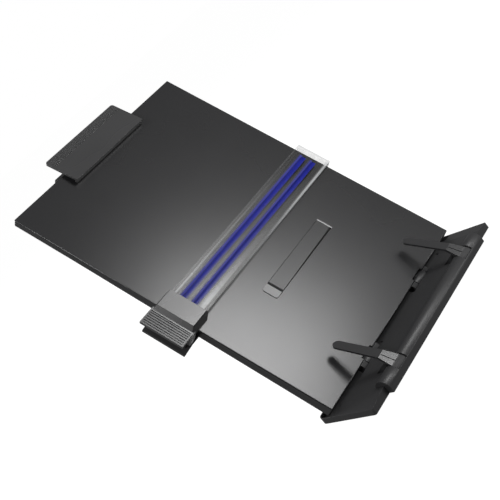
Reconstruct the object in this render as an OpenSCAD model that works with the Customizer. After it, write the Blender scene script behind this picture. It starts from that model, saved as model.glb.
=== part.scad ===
// Desktop copy holder with a sliding line guide.
// The frame stands on z = 0, x runs to the reader's right and y runs away from the reader.
// The origin lies on the table, under the middle of the front foot.

/* [Board] */
// Width of the board
board_w = 228.6; // [200:0.1:260]
// Length of the board along its face
board_l = 304.8; // [285:0.1:340]
// Depth of the skirt at the foot of the board
board_t = 9.6; // [9.4:0.1:12]
// Depth of the skirt at the top of the board
board_top_t = 6.4; // [6:0.1:8]
// Height above the foot at which the skirt stops tapering
taper_l = 245; // [230:1:275]
// Thickness of the face sheet
board_skin = 2.4; // [2:0.1:2.6]
// Thickness of the skirt
board_wall = 2; // [1.5:0.1:3]
// Rounding of the edge of the face
board_edge_r = 0.9; // [0.4:0.1:1.4]
// Rounding of the corners in plan
board_corner_r = 1.6; // [0.8:0.1:4]
// Lean of the board, up from the table
board_lean = 56; // [50:1:60]
// Thickness of the ribs on the back
rib_t = 1.5; // [1:0.1:2.5]
// Set-back of the ribs behind the edge of the skirt
rib_inset = 1; // [0.5:0.1:2]
// Spacing of the ribs on the back
rib_pitch = 34; // [28:1:45]

/* [Base] */
// Depth of the base slab, front to back
base_d = 60.7; // [60:0.1:70]
// Height of the deck over the table
base_h = 7.8; // [7.4:0.1:8.4]
// Height of the deck at its two ends
base_end_h = 6.2; // [5:0.1:7]
// Length of the slope at each end of the deck
end_slope = 14.5; // [10:0.5:18]
// Thickness of the end walls beside the board
end_wall = 0.9; // [0.8:0.1:2]
// Thickness of the rear wall
rear_wall = 1.6; // [1.2:0.1:2.5]
// Height of the rear wall over the table
rear_h = 6.4; // [5:0.1:7]
// Rounding of the rear corners in plan
rear_r = 6; // [4:0.5:9]
// Rounding of the front corners in plan
front_r = 1.5; // [0.8:0.1:3]
// Thickness of the deck over the ballast
deck_skin = 2; // [1.5:0.1:2.4]
// Thickness of the bottom plate
plate_t = 1.2; // [1:0.1:1.4]
// Height of the base over the table
foot_gap = 0.8; // [0.6:0.1:1]
// Length of the front foot
front_foot_w = 160; // [120:1:180]
// Width of both feet
foot_w = 5; // [4:0.1:6]
// Front foot behind the front edge of the base
foot_y = 13.2; // [12:0.1:14]
// Height of the floor of the well over the table
well_floor = 2.8; // [2.4:0.1:2.9]
// Length of the ballast bar
ballast_w = 172; // [120:1:180]

/* [Board hinge] */
// Distance of the hinge axis behind the front edge of the base
hinge_y = 42.6; // [42:0.1:44]
// Height of the hinge axis over the table
hinge_z = 7.1; // [7:0.1:7.4]
// Distance of the axis below the bottom edge of the board
hinge_drop = 2.2; // [1.8:0.1:2.6]
// Distance of the axis behind the face of the board
hinge_depth = 5; // [4.8:0.1:5.2]
// Middle of each knuckle from the centre line
knuckle_x = 49.8; // [48:0.1:56]
// Width of each knuckle
knuckle_w = 15; // [10:0.5:17]
// Radius of each knuckle
knuckle_r = 4.5; // [3.5:0.1:4.6]
// Radius of the lugs of the board
lug_r = 3.8; // [3:0.1:4]
// Width of the lugs of the board
lug_w = 6; // [4:0.5:8]
// Radius of the hinge pins
pin_r = 1.5; // [1:0.1:2]

/* [Ledge] */
// Length of the rounded ledge cover
roll_w = 185.2; // [170:0.1:195]
// Outer radius of the ledge cover
roll_r = 7.2; // [6.8:0.1:7.6]
// Wall of the ledge cover
roll_wall = 0.9; // [0.7:0.1:1.2]
// Finger axis behind the front edge of the base slab
finger_y = 2.2; // [1.5:0.1:3]
// Finger axis over the table
finger_z = 5.2; // [5.2:0.1:5.6]
// Middle of each finger from the centre line
finger_x = 67.3; // [60:0.1:75]
// Width of the hub of a finger
hub_w = 14; // [10:0.5:16]
// Radius of the hub of a finger
hub_r = 4.3; // [3.5:0.1:4.3]
// Length of the root, from the axis to the bend
root_l = 16.4; // [15:0.1:20]
// Slope of the line from the axis to the bend at rest
root_tilt = 65; // [60:1:70]
// Thickness of the root
root_t = 2.2; // [1.6:0.1:2.6]
// Length of the blade, from the bend to its tip
blade_l = 41.7; // [30:0.1:44]
// Width of the blade at the bend
blade_w = 9; // [7:0.1:10]
// Width of the blade at its tip
blade_tip_w = 8; // [6:0.1:9]
// Slope of the blade at rest
blade_tilt = 28.5; // [27:0.5:34]
// Thickness of the blade
blade_t = 1.8; // [1.4:0.1:2.2]

/* [Easel leg] */
// Leg axis above the bottom edge of the board, along the face
leg_pivot_s = 125; // [120:1:130]
// Leg axis behind the face of the board
leg_pivot_depth = 6; // [5.8:0.1:6.2]
// Angle of the open leg, down from level
leg_stand = 74.5; // [72:0.5:78]
// Width of the leg at its hinge
leg_w = 88; // [70:1:90]
// Width of the leg at its foot
leg_foot_w = 64; // [50:1:66]
// Thickness of the leg over its flanges
leg_t = 4.8; // [4:0.1:5]
// Thickness of the web of the leg
leg_web = 1.8; // [1.4:0.1:2.4]
// Width of the flanges and cross ribs of the leg
leg_flange = 3.2; // [2.5:0.1:5]
// Radius of the barrel of the leg
barrel_r = 3.2; // [2.8:0.1:3.2]
// Radius of the rubber foot
leg_foot_r = 2.6; // [2.2:0.1:2.8]

/* [Release latch] */
// Length of the latch strip
latch_l = 97.5; // [80:0.5:100]
// Width of the latch strip
latch_w = 14.5; // [11:0.1:16]
// Lower edge of the strip above the bottom edge of the board
latch_s = 86.6; // [79:0.1:90]
// Width of the bevel on the lower edge of the strip at its pivot end
latch_bevel_w = 1.7; // [0.8:0.1:1.9]
// Height of the thumb tab over the face
tab_rise = 1.4; // [1:0.1:1.4]
// Length of the thumb tab along the strip
tab_l = 7.5; // [6:0.5:12]

/* [Line guide] */
// Middle of the guide above the bottom edge of the board
guide_s = 141.8; // [60:0.1:260]
// Width of the ruler
ruler_w = 33.5; // [28:0.1:33.5]
// Thickness of the ruler
ruler_t = 1.6; // [1.2:0.1:1.8]
// Top of the ruler over the face of the board
ruler_top = 4.2; // [4:0.1:4.6]
// Depth of the rims under the long edges of the ruler
rim_drop = 0.8; // [0.4:0.1:0.8]
// Width of the rims of the ruler
rim_w = 1.4; // [1:0.1:2]
// Drop of the lip past the far edge of the board
lip_drop = 8; // [4:0.5:9]
// Thickness of the lip
lip_t = 1.9; // [1.4:0.1:2.4]
// Width of each stripe
stripe_w = 4.3; // [2:0.1:6]
// Distance of each stripe from the middle of the ruler
stripe_y = 5.2; // [4:0.1:8]
// Width of the guide clip at its foot
cap_w = 40.8; // [40:0.1:46]
// Width of the guide clip at its top
cap_top_w = 34; // [33.8:0.1:38]
// Height of the guide clip over the board
cap_top = 8.5; // [8.2:0.1:10]
// Reach of the top of the guide clip over the board
cap_in = 14.5; // [13:0.1:16]
// Reach of the foot of the guide clip over the board
cap_foot_in = 18; // [17:0.1:20]
// Thickness of the shell of the guide clip
cap_skin = 2; // [1.6:0.1:2.2]
// Reach of the ribbed grip past the edge of the board
grip_out = 24; // [22:0.5:28]
// Number of ribs on the grip
grip_ribs = 6; // [3:1:7]
// Reach of the lower grip past the edge of the board
lower_grip_out = 17.5; // [16:0.5:20]

/* [Top clip] */
// Length of the clip along the top edge
clip_w = 98.4; // [80:0.1:110]
// Reach of the clip over the face
clip_in = 15.8; // [14:0.1:18]
// Reach of the clip past the top edge
clip_out = 19; // [17:0.1:22]
// Height of the front edge over the face
clip_front_z = 6; // [5.6:0.1:7]
// Height of the outer edge over the face
clip_rear_z = 3; // [2.6:0.1:4]
// Thickness of the clip plate
clip_t = 2.2; // [1.8:0.1:2.4]
// Number of ribs along the outer edge
clip_ribs = 5; // [3:1:6]

/* [Hidden] */
$fn = 48;

// Clearances shared by all pieces
overcut = 1;
gap = 0.3;
run_fit = 0.05;
seat_fit = 0.02;
paper_gap = 0.2;
board_gap = 0.35;

// Base slab
base_w = board_w + 2 * (board_gap + end_wall);
well_w = board_w + 2 * board_gap;
well_y = 40.8;
well_end = base_d - rear_wall;
slot_y = 37.4;
slot_inner_x = 31.3;
slot_outer_x = 84.7;
deck_front = finger_y + roll_r - 1.2 * roll_wall;
rear_foot_w = 150;
rear_foot_y = 50;
cavity_w = base_w - 2 * end_slope;
cavity_y = 20.3;
cavity_end = slot_y - deck_skin;
cavity_top = base_h - deck_skin;
plate_lip = 2.2;
plate_top = foot_gap + plate_t;
ballast_gap = 0.2;
screw_r = 1.4;
screw_head_r = 2.8;
screw_boss_r = 3.6;
screw_inset = 8.65;
screw_x = cavity_w / 2 - screw_inset;
screw_tip_gap = 0.4;
recess_l = 2.8;
recess_w = 0.7;
recess_d = 0.8;
foot_t = 1;

// Ledge cover and the fingers in it
roll_inner = roll_r - roll_wall;
roll_end_wall = 1.2;
shutter_r = roll_inner - gap;
slot_rise = 2;
slot_front_z = finger_z + slot_rise;
slot_play = 0.5;
hub_slot_w = hub_w + 2 * slot_play;
pocket_end = 18.5;
pocket_floor = 3;
washer_t = 0.5;
washer_r = 3.4;
washer_gap = 0.15;
bracket_t = 3;
bracket_play = 0.2;
bracket_r = roll_inner - bracket_play;
bracket_x = hub_w / 2 + washer_t + 2 * washer_gap + bracket_t / 2;
finger_pin_l = 2 * bracket_x + bracket_t + gap;
root_rib_w = 1.2;
root_rib_h = 0.6;
root_rib_start = 2.6;
shutter_angles = [20, 80, 140, 195];
root_sink = 0.2;
root_face_r = shutter_r - root_sink;
root_face_tilt = root_tilt - asin(root_face_r / root_l);
root_face_l = sqrt(pow(root_l, 2) - pow(root_face_r, 2));

// Board and its hinge
board_y = hinge_y + hinge_drop * cos(board_lean) - hinge_depth * sin(board_lean);
board_z = hinge_z + hinge_drop * sin(board_lean) + hinge_depth * cos(board_lean);
hinge_pin_l = knuckle_w + 2 * (lug_w + gap) - gap;
notch_d = knuckle_r + gap - hinge_drop + gap;
lug_reach = 8;
lug_top = 1.2;

// Easel leg
ear_t = 4;
ear_r = 3.4;
leg_axis_y = board_y + leg_pivot_s * cos(board_lean) + leg_pivot_depth * sin(board_lean);
leg_axis_z = board_z + leg_pivot_s * sin(board_lean) - leg_pivot_depth * cos(board_lean);
leg_l = (leg_axis_z - leg_foot_r) / sin(leg_stand);
leg_turn = 180 - leg_stand;
foot_sleeve = 4;
tongue_t = 2;
tongue_l = 3;
heel_l = 4.5;
heel_t = 1.5;
leg_rib_pitch = 24;
bay_half = leg_w / 2 + gap + ear_t + 2 * gap;
bay_top = leg_pivot_s + ear_r + 2 * rib_t;

// Release latch
latch_t = 1.6;
latch_gap = 0.25;
latch_drop = 0.2;
latch_bevel_a = 34;
latch_bevel_start = 0.4;
latch_edge_w = 1.3;
latch_edge_drop = 0.3;
latch_heel_l = 6.2;
latch_heel_z = 3.2;
tab_front = 0.5;
tab_back = 4;
tab_corner_r = 1.8;
plunger_l = 4.4;
plunger_z = 2.2;
axle_r = 1.1;
axle_z = 2.6;
axle_inset = 2.8;
socket_t = 2.8;
socket_z = 4.8;
socket_half = 2.2;

// Line guide
ruler_low = ruler_top - ruler_t;
cap_foot = 0.3;
grip_top = 5.2;
grip_t = 2.6;
grip_root = 8;
grip_w = 40;
grip_rim = 1.4;
grip_relief = 0.8;
cap_out = 4.3;
guide_axis_x = 9;
guide_axis_z = 4.2;
guide_pin_r = 1.5;
upper_ear_r = 4.2;
upper_ear_t = 3;
lower_ear_r = 3.6;
lower_ear_t = 3;
cap_chamfer = [3.3, 5.3];
cap_wall_x = 2.3;
guide_down = 80;
pad_t = 1.2;
jaw_s = guide_s - guide_down - cap_w / 2;
jaw_clear = 0.15;
jaw_top = board_t - (board_t - board_top_t) * jaw_s / taper_l + jaw_clear + pad_t;
jaw_t = 2.2;
lower_grip_root = 6;
lower_grip_drop = 4.3;
ruler_start = 3;
ruler_over = 3;
ruler_end = board_w + ruler_over;
stripe_t = 0.15;
stripe_inset = 7;
stripe_end = board_w - stripe_inset;
ruler_rivet_x = 6.5;
ruler_rivet_y = 11.5;
ruler_rivet_r = 1.3;
ruler_boss_r = 2.4;
rivet_head_r = 2.2;
rivet_head_t = 0.6;
guide_pad_w = 28;

// Torsion springs in both clips
wire_r = 0.45;
coil_gap = 0.5;
coil_pitch = 2 * wire_r + coil_gap;
guide_coil_r = 2.9;
clip_coil_r = 2.5;
coil_turns = 6;
rings_per_turn = 8;
wire_sides = 6;
guide_upper_phase = 70;
guide_lower_phase = 35;
clip_upper_phase = -45;
clip_lower_phase = -50;

// Top clip
clip_axis_y = 5.5;
clip_axis_z = 4.4;
clip_pin_r = 1.25;
clip_ear_x = 37.5;
clip_ear_t = 3;
clip_ear_r = 3.8;
clip_lower_ear_r = 3.4;
clip_lip_t = 2.2;
clip_pad_t = 1.6;
clip_rib_w = 0.8;
clip_rib_h = 0.5;
clip_rib_pitch = 1.9;
clip_rib_inset = 1.6;
clip_corner_r = 2.5;
clip_jaw_in = 14;
clip_jaw_t = 2.2;
clip_jaw_root = 1;
clip_jaw_out = 8;
clip_jaw_drop = 4.6;
clip_jaw_lip = 3.6;
clip_slope = (clip_front_z - clip_rear_z) / (clip_in + clip_out);
clip_lower_slope = clip_jaw_drop / (clip_jaw_out - clip_jaw_root);
clip_under_z = clip_rear_z - clip_t + clip_slope * clip_out;
clip_rivet_x = 26;
clip_rivet_y = 9;
clip_rivet_r = 1.6;
clip_rivet_boss_r = 3.4;
clip_rivet_l = 3.4;

shell_grey = [0.16, 0.16, 0.17];
cover_grey = [0.13, 0.13, 0.14];
steel = [0.75, 0.76, 0.78];
rubber = [0.07, 0.07, 0.07];

// Placing and profile helpers
module on_table() {
    translate([0, -foot_y, 0]) children();
}

module at_board() {
    translate([0, board_y, board_z]) rotate([board_lean, 0, 0]) children();
}

// x runs over the board from its left edge and z out of its face
module at_guide() {
    at_board() translate([-board_w / 2, guide_s, 0]) children();
}

// y runs past the top edge of the board and z out of its face
module at_clip() {
    at_board() translate([0, board_l, 0]) children();
}

module at_finger(side) {
    translate([side * finger_x, finger_y, finger_z]) children();
}

module along_x(w) {
    rotate([90, 0, 90]) linear_extrude(height = w, center = true) children();
}

module along_y(d) {
    rotate([90, 0, 0]) linear_extrude(height = d, center = true) children();
}

module bar_x(r, w) {
    rotate([0, 90, 0]) cylinder(r = r, h = w, center = true);
}

module bar_y(r, w) {
    rotate([90, 0, 0]) cylinder(r = r, h = w, center = true);
}

// A box from one corner to the other
module span(low, high) {
    translate(low) cube(high - low);
}

module round_plan(w, d, r) {
    square([w - 2 * r, d], center = true);
    square([w, d - 2 * r], center = true);
    for (sx = [-1, 1], sy = [-1, 1])
        translate([sx * (w / 2 - r), sy * (d / 2 - r)]) circle(r = r);
}

// Section of a slab with its top at zero and its two top edges rounded
module crowned_section(w, t, r) {
    translate([-w / 2, -t]) square([w, t - r]);
    translate([-w / 2 + r, -t]) square([w - 2 * r, t]);
    for (side = [-1, 1]) translate([side * (w / 2 - r), -r]) circle(r = r);
}

// Base slab
module tray_plan() {
    translate([-base_w / 2 + rear_r, 0]) square([base_w - 2 * rear_r, base_d]);
    translate([-base_w / 2, front_r]) square([base_w, base_d - rear_r - front_r]);
    translate([-base_w / 2 + front_r, 0]) square([base_w - 2 * front_r, rear_r]);
    for (side = [-1, 1]) {
        translate([side * (base_w / 2 - rear_r), base_d - rear_r]) circle(r = rear_r);
        translate([side * (base_w / 2 - front_r), front_r]) circle(r = front_r);
    }
}

module tray_block() {
    intersection() {
        linear_extrude(height = base_h + overcut) tray_plan();
        along_y(2 * base_d + overcut) polygon([[-base_w / 2, foot_gap], [base_w / 2, foot_gap],
            [base_w / 2, base_end_h], [base_w / 2 - end_slope, base_h],
            [end_slope - base_w / 2, base_h], [-base_w / 2, base_end_h]]);
        along_x(base_w + overcut) polygon([[0, foot_gap], [base_d, foot_gap], [base_d, rear_h],
            [well_y, rear_h], [well_y, base_h], [0, base_h]]);
    }
}

module board_well() {
    translate([0, 0, well_floor]) linear_extrude(height = base_h) {
        corner = rear_r - rear_wall;
        translate([-well_w / 2, well_y]) square([well_w, well_end - corner - well_y]);
        translate([-well_w / 2 + corner, well_y]) square([well_w - 2 * corner, well_end - well_y]);
        for (side = [-1, 1]) translate([side * (well_w / 2 - corner), well_end - corner])
            circle(r = corner);
    }
    for (side = [0, 1]) mirror([side, 0, 0])
        span([slot_inner_x, slot_y, well_floor], [slot_outer_x, well_y + overcut, base_h + overcut]);
}

module finger_pockets() {
    for (side = [-1, 1]) translate([side * finger_x, 0, 0])
        span([-hub_slot_w / 2, 0, pocket_floor], [hub_slot_w / 2, pocket_end, base_h + overcut]);
}

module ballast_cavity() {
    span([-cavity_w / 2, cavity_y, -overcut], [cavity_w / 2, cavity_end, cavity_top]);
    span([-cavity_w / 2 - plate_lip, cavity_y - plate_lip, -overcut],
        [cavity_w / 2 + plate_lip, cavity_end + plate_lip, plate_top]);
}

module knuckles() {
    for (side = [-1, 1]) translate([side * knuckle_x, 0, 0]) {
        translate([0, hinge_y, hinge_z]) bar_x(knuckle_r, knuckle_w);
        span([-knuckle_w / 2, cavity_end + plate_lip, foot_gap], [knuckle_w / 2, hinge_y + knuckle_r, hinge_z]);
    }
}

// Webs that carry the finger pins inside the ledge cover
module ledge_brackets() {
    for (side = [-1, 1], end = [-1, 1])
        translate([side * finger_x + end * bracket_x, 0, 0]) {
            intersection() {
                translate([0, finger_y, finger_z]) bar_x(bracket_r, bracket_t);
                translate([0, finger_y, foot_gap + bracket_r]) cube([bracket_t, 2 * roll_r, 2 * bracket_r],
                    center = true);
            }
            span([-bracket_t / 2, finger_y, foot_gap],
                [bracket_t / 2, deck_front + overcut, finger_z + bracket_r / 3]);
        }
}

module screw_places() {
    for (place = [-1, 0, 1])
        translate([place * screw_x, (cavity_y + cavity_end) / 2, 0]) children();
}

module foot_places() {
    translate([0, foot_y, 0]) linear_extrude(height = foot_t) round_plan(front_foot_w, foot_w, foot_w / 4);
    translate([0, rear_foot_y, 0]) linear_extrude(height = foot_t) round_plan(rear_foot_w, foot_w, foot_w / 4);
}

module base_tray() {
    color(cover_grey) difference() {
        union() {
            difference() {
                tray_block();
                span([-roll_w / 2 - gap, -overcut, -overcut], [roll_w / 2 + gap, deck_front, base_h + overcut]);
                board_well();
                finger_pockets();
                ballast_cavity();
            }
            knuckles();
            ledge_brackets();
            screw_places() translate([0, 0, plate_top]) cylinder(r = screw_boss_r, h = cavity_top - plate_top);
        }
        for (side = [-1, 1]) {
            translate([side * knuckle_x, hinge_y, hinge_z]) bar_x(pin_r + seat_fit, knuckle_w + overcut);
            at_finger(side) bar_x(pin_r + seat_fit, finger_pin_l + overcut);
        }
        screw_places() cylinder(r = screw_r + run_fit, h = cavity_top);
        foot_places();
    }
}

module base_plate() {
    w = cavity_w + 2 * (plate_lip - ballast_gap);
    color(steel * 0.5) difference() {
        span([-w / 2, cavity_y - plate_lip + ballast_gap, foot_gap],
            [w / 2, cavity_end + plate_lip - ballast_gap, plate_top]);
        screw_places() translate([0, 0, foot_gap])
            cylinder(r1 = screw_head_r + run_fit, r2 = screw_r + run_fit, h = plate_t);
    }
}

module ballast_bar() {
    color(steel * 0.7) difference() {
        span([-ballast_w / 2, cavity_y + ballast_gap, plate_top],
            [ballast_w / 2, cavity_end - ballast_gap, cavity_top]);
        screw_places() cylinder(r = screw_boss_r + gap, h = base_h);
    }
}

module base_screws() {
    color(steel) screw_places() difference() {
        union() {
            translate([0, 0, foot_gap]) cylinder(r1 = screw_head_r, r2 = screw_r, h = plate_t);
            translate([0, 0, plate_top]) cylinder(r = screw_r, h = cavity_top - plate_top - screw_tip_gap);
        }
        for (turn = [0, 90]) rotate([0, 0, turn])
            span([-recess_l / 2, -recess_w / 2, foot_gap - overcut], [recess_l / 2, recess_w / 2, foot_gap + recess_d]);
    }
}

module rubber_feet() {
    color(rubber) foot_places();
}

// Ledge cover, a rounded shell over the finger brackets
module roll_section(r) {
    circle(r = r);
    translate([-r, -finger_z]) square([2 * r, finger_z]);
}

module roll_solid(r, w) {
    intersection() {
        translate([0, finger_y, finger_z]) along_x(w) roll_section(r);
        span([-roll_w, -2 * roll_r, foot_gap], [roll_w, 4 * roll_r, 4 * roll_r]);
    }
}

module ledge_cover() {
    color(cover_grey) difference() {
        roll_solid(roll_r, roll_w);
        roll_solid(roll_inner, roll_w - 2 * roll_end_wall);
        span([-roll_w / 2 - gap, finger_y, 0], [roll_w / 2 + gap, finger_y + 2 * roll_r, base_h]);
        for (side = [-1, 1]) translate([side * finger_x, 0, 0])
            span([-hub_slot_w / 2, -2 * roll_r, slot_front_z], [hub_slot_w / 2, 2 * roll_r, 4 * roll_r]);
    }
}

module finger_pins() {
    color(steel) for (side = [-1, 1]) at_finger(side) bar_x(pin_r, finger_pin_l);
}

module finger_washers() {
    color(steel * 0.8) for (side = [-1, 1], end = [-1, 1])
        at_finger(side) translate([end * (hub_w / 2 + washer_gap + washer_t / 2), 0, 0]) difference() {
            bar_x(washer_r, washer_t);
            bar_x(pin_r + run_fit, washer_t + overcut);
        }
}

// Page fingers, a hub with a tapered root tangent to it and a long flat blade
module finger_root() {
    rotate([root_face_tilt, 0, 0]) {
        translate([0, 0, root_face_r - root_t]) linear_extrude(height = root_t)
            polygon([[-hub_w / 2, 0], [hub_w / 2, 0], [blade_w / 2, root_face_l], [-blade_w / 2, root_face_l]]);
        span([-root_rib_w / 2, root_rib_start, root_face_r - root_t / 2],
            [root_rib_w / 2, root_face_l - root_rib_h, root_face_r + root_rib_h]);
    }
}

module finger_blade() {
    translate([0, root_l * cos(root_tilt), root_l * sin(root_tilt)]) {
        rotate([(root_face_tilt + blade_tilt) / 2, 0, 0]) translate([0, 0, -blade_t / 2])
            bar_x(blade_t * 3 / 7, blade_w - root_rib_w / 4);
        rotate([blade_tilt, 0, 0]) translate([0, 0, -blade_t]) linear_extrude(height = blade_t) {
            polygon([[-blade_w / 2, 0], [blade_w / 2, 0], [blade_tip_w / 2, blade_l - blade_tip_w / 2],
                [-blade_tip_w / 2, blade_l - blade_tip_w / 2]]);
            translate([0, blade_l - blade_tip_w / 2]) circle(r = blade_tip_w / 2);
        }
    }
}

module finger(side) {
    at_finger(side) difference() {
        union() {
            bar_x(hub_r, hub_w);
            intersection() {
                bar_x(shutter_r, hub_w);
                along_x(hub_w) polygon(concat([[0, 0]],
                    [for (a = shutter_angles) 2 * shutter_r * [cos(a), sin(a)]]));
            }
            finger_root();
            finger_blade();
        }
        bar_x(pin_r + run_fit, hub_w + overcut);
    }
}

module finger_left() {
    color(shell_grey) finger(-1);
}

module finger_right() {
    color(shell_grey) finger(1);
}

module hinge_pins() {
    color(steel) for (side = [-1, 1]) translate([side * knuckle_x, hinge_y, hinge_z]) bar_x(pin_r, hinge_pin_l);
}

// Board, a moulded panel with a tapered skirt and ribs on its back
module back_wedge(inset, rise) {
    along_x(board_w) polygon([[0, rise], [board_l, rise], [board_l, inset - board_top_t],
        [taper_l, inset - board_top_t], [0, inset - board_t]]);
}

module board_slab() {
    intersection() {
        back_wedge(0, overcut);
        translate([0, board_l / 2, 0]) along_y(board_l) crowned_section(board_w, board_t, board_edge_r);
        translate([0, board_l / 2, 0]) along_x(board_w) crowned_section(board_l, board_t, board_edge_r);
        translate([0, board_l / 2, -board_t - overcut]) linear_extrude(height = board_t + 2 * overcut)
            round_plan(board_w, board_l, board_corner_r);
    }
}

module back_rib(low, high) {
    span([low.x, low.y, -board_t], [high.x, high.y, -board_skin / 2]);
}

module back_ribs() {
    intersection() {
        back_wedge(rib_inset, 0);
        rib_grid();
    }
}

module rib_grid() {
    inner_x = board_w / 2 - board_wall / 2;
    side_xs = [bay_half, (bay_half + inner_x) / 2];
    for (x = side_xs, side = [-1, 1])
        back_rib([side * x - rib_t / 2, board_wall / 2], [side * x + rib_t / 2, board_l - board_wall / 2]);
    back_rib([-rib_t / 2, bay_top], [rib_t / 2, board_l - board_wall / 2]);
    for (y = [rib_pitch : rib_pitch : board_l - rib_pitch / 2])
        if (y > bay_top)
            back_rib([-inner_x, y - rib_t / 2], [inner_x, y + rib_t / 2]);
        else
            for (side = [0, 1]) mirror([side, 0, 0])
                back_rib([bay_half, y - rib_t / 2], [inner_x, y + rib_t / 2]);
    back_rib([-bay_half, bay_top - rib_t / 2], [bay_half, bay_top + rib_t / 2]);
}

module leg_ears() {
    for (side = [-1, 1]) translate([side * (leg_w / 2 + gap + ear_t / 2), leg_pivot_s, -leg_pivot_depth]) {
        bar_x(ear_r, ear_t);
        span([-ear_t / 2, -ear_r, 0], [ear_t / 2, ear_r, leg_pivot_depth - board_skin / 2]);
    }
}

module hinge_lugs() {
    for (side = [-1, 1], end = [-1, 1])
        translate([side * knuckle_x + end * (knuckle_w + lug_w + 2 * gap) / 2, 0, 0]) {
            translate([0, -hinge_drop, -hinge_depth]) bar_x(lug_r, lug_w);
            span([-lug_w / 2, -hinge_drop, -hinge_depth - lug_r], [lug_w / 2, lug_reach, -lug_top]);
        }
}

module latch_sockets() {
    for (side = [-1, 1])
        translate([latch_l / 2 - axle_inset, latch_s + latch_w / 2 + side * (latch_w / 2 + latch_gap + socket_t / 2), 0])
            span([-socket_half, -socket_t / 2, -socket_z], [socket_half, socket_t / 2, -board_skin / 2]);
}

module clip_bosses() {
    for (side = [-1, 1]) translate([side * clip_rivet_x, board_l - clip_rivet_y, -board_top_t])
        cylinder(r = clip_rivet_boss_r, h = board_top_t - board_skin / 2);
}

module board_panel() {
    color(shell_grey) at_board() difference() {
        union() {
            difference() {
                board_slab();
                span([board_wall - board_w / 2, board_wall, -board_t - overcut],
                    [board_w / 2 - board_wall, board_l - board_wall, -board_skin]);
            }
            back_ribs();
            leg_ears();
            hinge_lugs();
            latch_sockets();
            clip_bosses();
        }
        for (side = [-1, 1]) translate([side * knuckle_x, 0, 0])
            span([-knuckle_w / 2 - gap, -overcut, -board_t - overcut], [knuckle_w / 2 + gap, notch_d, overcut]);
        translate([0, -hinge_drop, -hinge_depth]) bar_x(pin_r + run_fit, board_w);
        translate([0, leg_pivot_s, -leg_pivot_depth]) bar_x(pin_r + seat_fit, leg_w + 4 * ear_t);
        translate([0, latch_s + latch_w / 2, 0]) {
            translate([0, 0, -board_skin - overcut])
                linear_extrude(height = board_skin + 2 * overcut) latch_plan(latch_gap);
            latch_edge_cut();
            translate([latch_l / 2 - axle_inset, 0, -axle_z]) bar_y(axle_r + run_fit, latch_w + 4 * socket_t);
        }
        for (side = [-1, 1])
            translate([side * clip_rivet_x, board_l - clip_rivet_y, -board_top_t - overcut])
                cylinder(r = clip_rivet_r + seat_fit, h = clip_rivet_l + overcut);
    }
}

module leg_pin() {
    color(steel) at_board() translate([0, leg_pivot_s, -leg_pivot_depth])
        bar_x(pin_r, leg_w + 2 * (gap + ear_t));
}

// Plan of the latch strip, rounded at its tab end
module latch_plan(grow) {
    left = -latch_l / 2 - grow;
    half = latch_w / 2 + grow;
    r = tab_corner_r + grow;
    translate([left + r, -half]) square([latch_l + 2 * grow - r, 2 * half]);
    translate([left, r - half]) square([2 * r, 2 * (half - r)]);
    for (side = [-1, 1]) translate([left + r, side * (half - r)]) circle(r = r);
}

// Sloped edge of the face at the far end of the latch slot
module latch_edge_cut() {
    end = latch_l / 2 + latch_gap;
    along_y(latch_w + 4 * latch_gap)
        polygon([[end - overcut, -latch_edge_drop * (1 + overcut / latch_edge_w)], [end - overcut, overcut],
            [end + latch_edge_w * (1 + overcut / latch_edge_drop), overcut]]);
}

// Strip with its thumb tab, plunger and heel, longer than its plan at both ends
module latch_section() {
    left = -latch_l / 2;
    right = latch_l / 2;
    tab_end = left + tab_l;
    strip_start = tab_end + tab_back;
    heel = right - latch_heel_l;
    low = latch_drop + latch_t;
    polygon([[left - overcut, tab_front], [tab_end, tab_rise], [strip_start, -latch_drop],
        [right + overcut, -latch_drop], [right + overcut, -latch_heel_z], [heel, -latch_heel_z],
        [heel - latch_heel_z + low, -low], [strip_start, -low], [tab_end, -plunger_z],
        [tab_end - plunger_l, -plunger_z], [tab_end - plunger_l, -low], [left - overcut, -low]]);
}

// Wedge that bevels the lower edge of the strip, wider towards the pivot
module latch_bevel() {
    start = tab_l + tab_back - latch_l / 2;
    swing = atan((latch_bevel_w - latch_bevel_start) / (latch_l / 2 - start));
    translate([start, latch_bevel_start - latch_w / 2, -latch_drop]) rotate([latch_bevel_a, 0, swing])
        span([0, -latch_w, 0], [latch_l, 0, latch_w]);
}

// Latch strip in the face, which tilts about an axle at its right end
module release_latch() {
    color(shell_grey) at_board() translate([0, latch_s + latch_w / 2, 0]) {
        difference() {
            intersection() {
                along_y(latch_w + overcut) latch_section();
                translate([0, 0, -latch_heel_z - overcut])
                    linear_extrude(height = latch_heel_z + tab_rise + 2 * overcut) latch_plan(0);
            }
            latch_bevel();
        }
        translate([latch_l / 2 - axle_inset, 0, -axle_z]) bar_y(axle_r, latch_w + 2 * latch_gap + socket_t);
    }
}

// Easel leg, drawn with its axis at the origin and the leg along -y
module leg_outline(inset, low) {
    half_low = leg_w / 2 + (leg_foot_w - leg_w) / 2 * low / leg_l;
    polygon([[-leg_w / 2 + inset, 0], [leg_w / 2 - inset, 0], [half_low - inset, -low], [inset - half_low, -low]]);
}

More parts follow.
